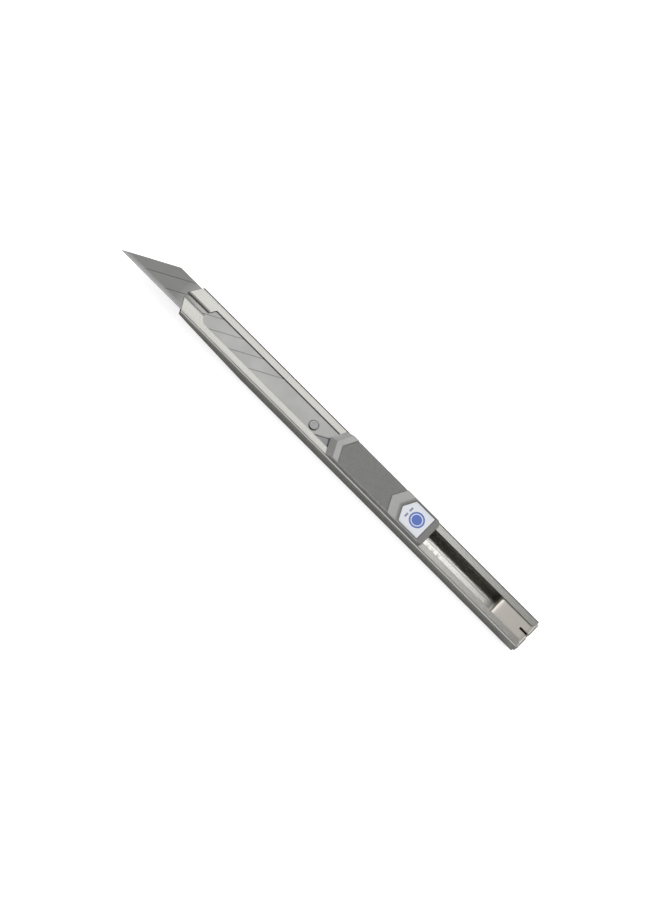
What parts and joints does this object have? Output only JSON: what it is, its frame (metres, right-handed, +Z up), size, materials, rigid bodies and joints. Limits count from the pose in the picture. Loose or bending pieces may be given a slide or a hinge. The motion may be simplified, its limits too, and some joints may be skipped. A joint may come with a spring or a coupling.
{
  "type": "snap-off knife",
  "caption": "Slim stainless snap-off knife: folded channel with tapered chevron nose, sliding 30 degree blade, cast thumb slider, pull-off end piece with pocket clip.",
  "frame": {"origin": "centre of the bounding box's bottom, under the middle of the knife lying on its back", "axes": "+X from the blade's tip to the rear end, +Y from the cutting edge to the blade's spine, +Z up out of the slotted face"},
  "size_m": [0.1598, 0.0106, 0.0088],
  "materials": {
    "stainless_sheet": "brushed along its length",
    "blade_steel": "ground",
    "carrier_steel": "rolled",
    "turned_steel": "turned",
    "slider_casting": "satin grey zinc casting",
    "label_film": "printed film",
    "spring_steel": "rolled",
    "clip_sheet": "satin sheet"
  },
  "bodies": {
    "handle": {"body_channel": "stainless_sheet"},
    "slider": {"slider_thumb_piece": "slider_casting", "slider_label": "label_film", "blade_carrier": "carrier_steel", "blade_stud": "turned_steel", "blade": "blade_steel", "lock_spring": "spring_steel", "slider_rivets": "turned_steel", "spring_rivet": "turned_steel"},
    "end_piece": {"end_clip": "clip_sheet"}
  },
  "joints": [
    {"name": "slider_slide", "type": "slide", "parent": "handle", "child": "slider", "axis": [1, 0, 0], "range_m": [-0.04, 0.024], "deforming": ["lock_spring"]},
    {"name": "end_clip_pull", "type": "slide", "parent": "handle", "child": "end_piece", "axis": [1, 0, 0], "range_m": [0, 0.014]}
  ]
}
